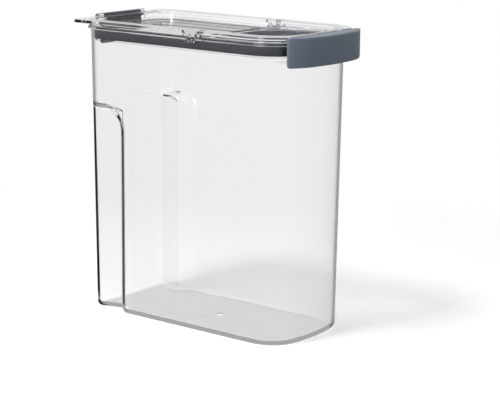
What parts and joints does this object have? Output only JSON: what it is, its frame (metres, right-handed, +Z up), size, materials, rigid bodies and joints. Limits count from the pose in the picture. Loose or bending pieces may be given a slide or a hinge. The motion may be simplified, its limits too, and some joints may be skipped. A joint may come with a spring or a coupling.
{
  "type": "cereal container with flip spout",
  "caption": "Clear D-shaped food container with side grip recesses, a gasketed lid, a flip-up spout cover, and slate latches at the front and rear.",
  "frame": {"origin": "centre of the foot's bounding box, on the table", "axes": "+X along the length towards the spout and front latch, +Y across the width, +Z up"},
  "size_m": [0.2382, 0.1206, 0.2603],
  "materials": {
    "clear_plastic_body": "clear moulded food-grade plastic",
    "clear_plastic_lid": "clear moulded food-grade plastic",
    "slate_silicone": "satin slate silicone",
    "slate_plastic": "satin slate plastic",
    "dark_pin_plastic": "dark plastic pin",
    "pin_steel": "bright steel rod"
  },
  "bodies": {
    "container": {"container": "clear_plastic_body"},
    "lid": {"lid_base": "clear_plastic_lid", "lid_gasket": "slate_silicone", "spout_seal": "slate_silicone", "rear_latch_pin": "pin_steel"},
    "cover": {"flip_cover": "clear_plastic_lid", "cover_hinge_pins": "dark_pin_plastic", "front_latch_pin": "pin_steel"},
    "front_latch": {"front_latch": "slate_plastic"},
    "rear_latch": {"rear_latch": "slate_plastic"}
  },
  "joints": [
    {"name": "lid_lift", "type": "slide", "parent": "container", "child": "lid", "axis": [0, 0, 1], "range_m": [0, 0.03]},
    {"name": "cover_hinge", "type": "hinge", "parent": "lid", "child": "cover", "pos_m": [0.012, 0, 0.2515], "axis": [0, -1, 0], "range_deg": [0, 90]},
    {"name": "front_latch_hinge", "type": "hinge", "parent": "cover", "child": "front_latch", "pos_m": [0.10483, 0, 0.2554], "axis": [0, -1, 0], "range_deg": [0, 75]},
    {"name": "rear_latch_hinge", "type": "hinge", "parent": "lid", "child": "rear_latch", "pos_m": [-0.11628, 0, 0.2575], "axis": [0, 1, 0], "range_deg": [0, 80]}
  ]
}
